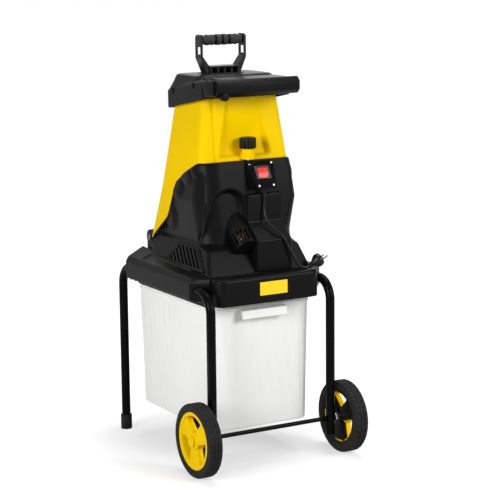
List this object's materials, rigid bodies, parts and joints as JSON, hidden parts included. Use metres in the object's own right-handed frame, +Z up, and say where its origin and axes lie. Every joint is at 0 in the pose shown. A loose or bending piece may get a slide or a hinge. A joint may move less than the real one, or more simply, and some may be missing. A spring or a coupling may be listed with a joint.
{
  "type": "garden shredder",
  "caption": "Upright electric garden shredder: a tilting hopper with push tool and disc cutter on a wheeled tube frame, over a slide-out collection bin.",
  "frame": {"origin": "on the ground, under the middle of the object", "axes": "+Z up; -Y towards the front, with the wheels, motor and switch; +X towards the switch side"},
  "size_m": [0.5042, 0.638, 1.15],
  "materials": {
    "black_plastic": "fine moulded texture",
    "switch_black": "smooth",
    "tool_black": "smooth",
    "grip_rubber": "soft, matt",
    "foot_rubber": "matt",
    "frame_paint": "gloss black",
    "steel": "bright",
    "dark_steel": "blackened",
    "plate_yellow": "bare foil",
    "yellow_plastic": "satin",
    "bin_plastic": "translucent, milky",
    "tyre": "matt",
    "aluminium": "cast",
    "winding": "varnished",
    "laminations": "bare",
    "copper": "turned",
    "brass": "turned",
    "switch_pale": "smooth",
    "rocker_red": "translucent look",
    "cord_black": "satin"
  },
  "bodies": {
    "chassis": {"base_deck": "black_plastic", "bin_rails": "black_plastic", "motor_housing": "black_plastic", "left_vent_grille": "black_plastic", "right_vent_grille": "black_plastic", "motor_drum": "black_plastic", "discharge_chute": "black_plastic", "hinge_brackets": "black_plastic", "switch_box": "black_plastic", "interlock_switch": "black_plastic", "switch_plate": "switch_black", "rear_feet": "foot_rubber", "cord_gland": "foot_rubber", "left_frame_tube": "frame_paint", "right_frame_tube": "frame_paint", "axle": "frame_paint", "axle_collars": "steel", "frame_bolts": "steel", "housing_screws": "steel", "switch_screws": "steel", "plug_pins": "steel", "upper_bearing": "steel", "lower_bearing": "steel", "brush_holders": "dark_steel", "hinge_pins": "dark_steel", "rating_plate": "plate_yellow", "wheel_caps": "yellow_plastic", "bearing_plate": "aluminium", "motor_stator": "winding", "lock_insert": "brass", "switch_body": "switch_pale", "cord": "cord_black", "plug": "cord_black"},
    "rotor": {"rotor_shaft": "steel", "rotor_core": "laminations", "commutator": "copper", "cooling_fan": "black_plastic", "cutter_disc": "steel", "knives": "steel", "knife_bolts": "dark_steel", "disc_nut": "dark_steel"},
    "left_wheel": {"left_tyre": "tyre", "left_hub": "yellow_plastic"},
    "right_wheel": {"right_tyre": "tyre", "right_hub": "yellow_plastic"},
    "bin": {"collection_bin": "bin_plastic"},
    "hopper": {"hopper_shell": "yellow_plastic", "hood": "black_plastic", "bar_end_caps": "black_plastic", "hood_screws": "steel"},
    "screw_washer": {"thrust_washer": "steel"},
    "knob": {"lock_knob": "black_plastic", "lock_screw": "steel"},
    "push_tool": {"push_tool": "tool_black", "push_tool_grip": "grip_rubber"},
    "rocker": {"rocker": "rocker_red"}
  },
  "joints": [
    {"name": "left_wheel_spin", "type": "hinge", "parent": "chassis", "child": "left_wheel", "pos_m": [-0.2278, -0.219, 0.1], "axis": [1, 0, 0], "continuous": true},
    {"name": "right_wheel_spin", "type": "hinge", "parent": "chassis", "child": "right_wheel", "pos_m": [0.2278, -0.219, 0.1], "axis": [1, 0, 0], "continuous": true},
    {"name": "bin_slide", "type": "slide", "parent": "chassis", "child": "bin", "axis": [0, 1, 0], "range_m": [0, 0.42]},
    {"name": "hopper_tip", "type": "hinge", "parent": "chassis", "child": "hopper", "pos_m": [0, 0.215, 0.576], "axis": [-1, 0, 0], "range_deg": [0, 90]},
    {"name": "push_tool_lift", "type": "slide", "parent": "hopper", "child": "push_tool", "axis": [0, 0, 1], "range_m": [0, 0.2]},
    {"name": "screw_lift", "type": "slide", "parent": "hopper", "child": "screw_washer", "axis": [0, 0, 1], "range_m": [-0.01, 0]},
    {"name": "knob_turn", "type": "hinge", "parent": "screw_washer", "child": "knob", "pos_m": [0.007, -0.088, 0.85], "axis": [0, 0, 1], "range_deg": [-1440, 0]},
    {"name": "rotor_spin", "type": "hinge", "parent": "chassis", "child": "rotor", "pos_m": [-0.035, 0.02, 0.731], "axis": [0, 0.766, 0.6428], "continuous": true},
    {"name": "rocker_tilt", "type": "hinge", "parent": "chassis", "child": "rocker", "pos_m": [0.034, -0.11655, 0.78163], "axis": [1, 0, 0], "range_deg": [-20, 0]}
  ],
  "couplings": [
    {"joint": "knob_turn", "follows": "screw_lift", "rad_per_m": 2513.3}
  ]
}
